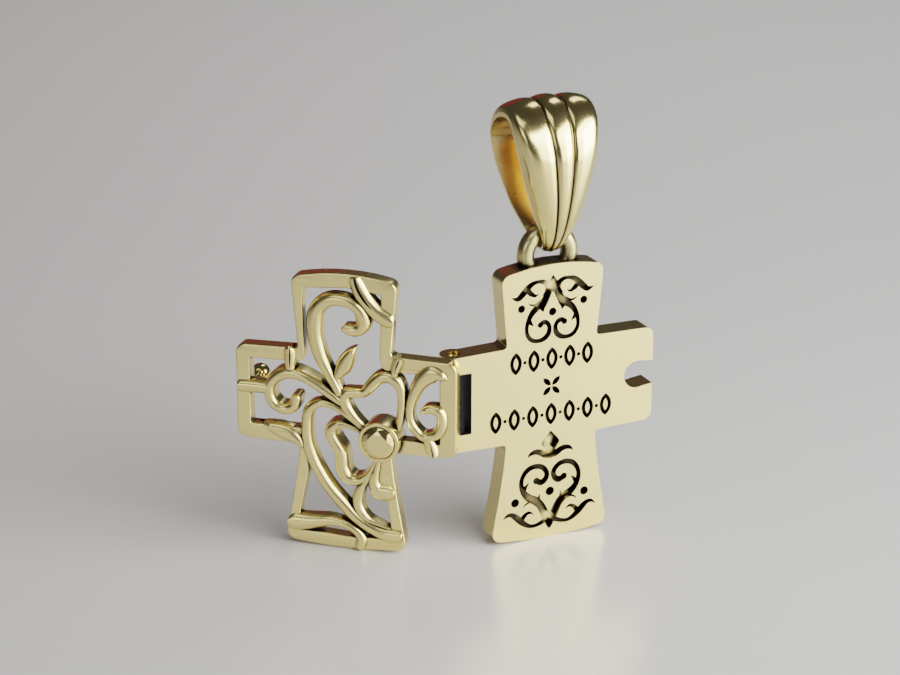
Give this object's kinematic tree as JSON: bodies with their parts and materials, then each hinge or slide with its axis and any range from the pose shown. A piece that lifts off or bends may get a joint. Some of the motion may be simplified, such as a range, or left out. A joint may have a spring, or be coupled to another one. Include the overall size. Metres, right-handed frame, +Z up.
{
  "type": "cross locket",
  "caption": "Folding cross locket pendant: engraved plate and pierced scrollwork cover on a pin hinge, ball clasp, set stone, and a fluted bail on a soldered ring.",
  "frame": {"origin": "where the chain lies, at the top of the inside of the bail, in the middle of its width", "axes": "+X along the arms of the plate towards the clasp notch, -Y out of the engraved face, +Z up through the bail"},
  "size_m": [0.0354, 0.0168, 0.0408],
  "materials": {
    "plate_metal": "satin pale gold with dark patina in the engraving",
    "cover_metal": "satin pale gold, polished scrolls",
    "stone": "faceted and polished",
    "pin_metal": "polished",
    "bail_metal": "polished"
  },
  "bodies": {
    "bail": {"bail": "bail_metal"},
    "pendant": {"back_plate": "plate_metal", "hinge_pin": "pin_metal"},
    "cover": {"front_cover": "cover_metal", "stone": "stone"}
  },
  "joints": [
    {"name": "bail_swing", "type": "hinge", "parent": "bail", "child": "pendant", "pos_m": [0, -0.00037, -0.01055], "axis": [1, 0, 0], "range_deg": [-55, 55]},
    {"name": "cover_hinge", "type": "hinge", "parent": "pendant", "child": "cover", "pos_m": [-0.009, -0.00042, -0.025], "axis": [0, 0, 1], "range_deg": [-140.8, 15]}
  ]
}
